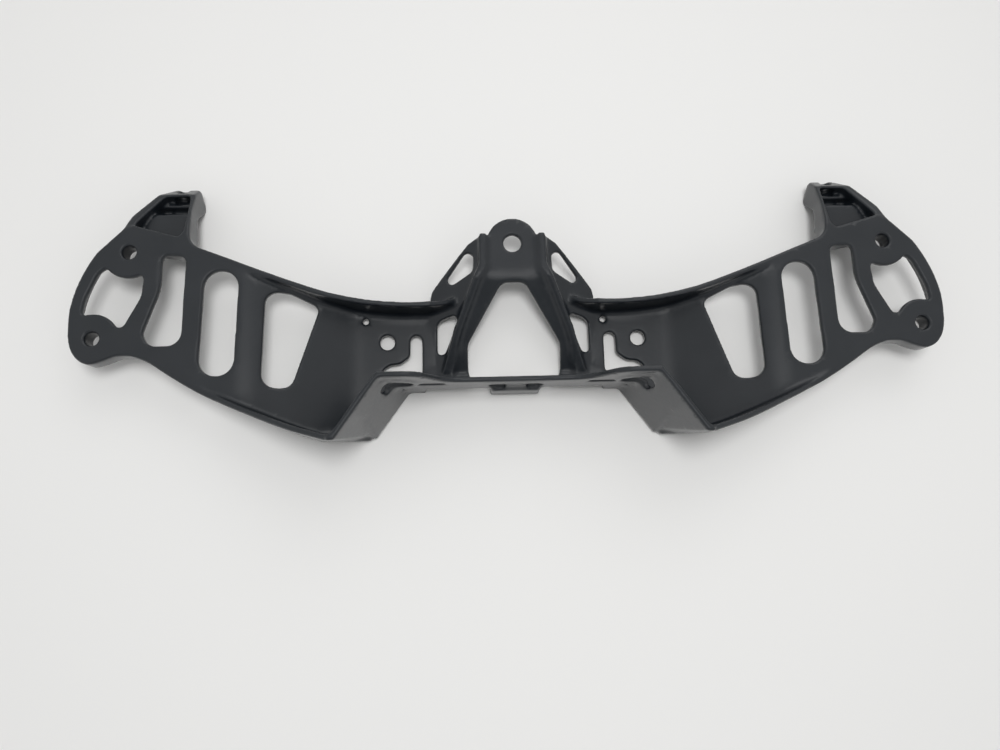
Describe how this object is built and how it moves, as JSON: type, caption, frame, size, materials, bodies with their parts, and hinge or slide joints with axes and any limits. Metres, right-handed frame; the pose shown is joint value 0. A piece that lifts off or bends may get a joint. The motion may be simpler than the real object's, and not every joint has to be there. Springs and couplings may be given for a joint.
{
  "type": "fairing stay",
  "caption": "One-piece black cast stay for a motorbike's front fairing: two slotted arms with mirror plates and hooks, leg walls, and a middle frame with a top fixing tab.",
  "frame": {"origin": "centre of the box's underside, with the stay lying front side up on its leg walls and hooks", "axes": "+X across the machine, +Y toward the top tab, +Z out of the front faces of the mirror plates"},
  "size_m": [0.3988, 0.1251, 0.049],
  "materials": {
    "black_coat": "satin black coat on cast light alloy"
  },
  "bodies": {
    "root": {"stay": "black_coat"}
  },
  "joints": []
}
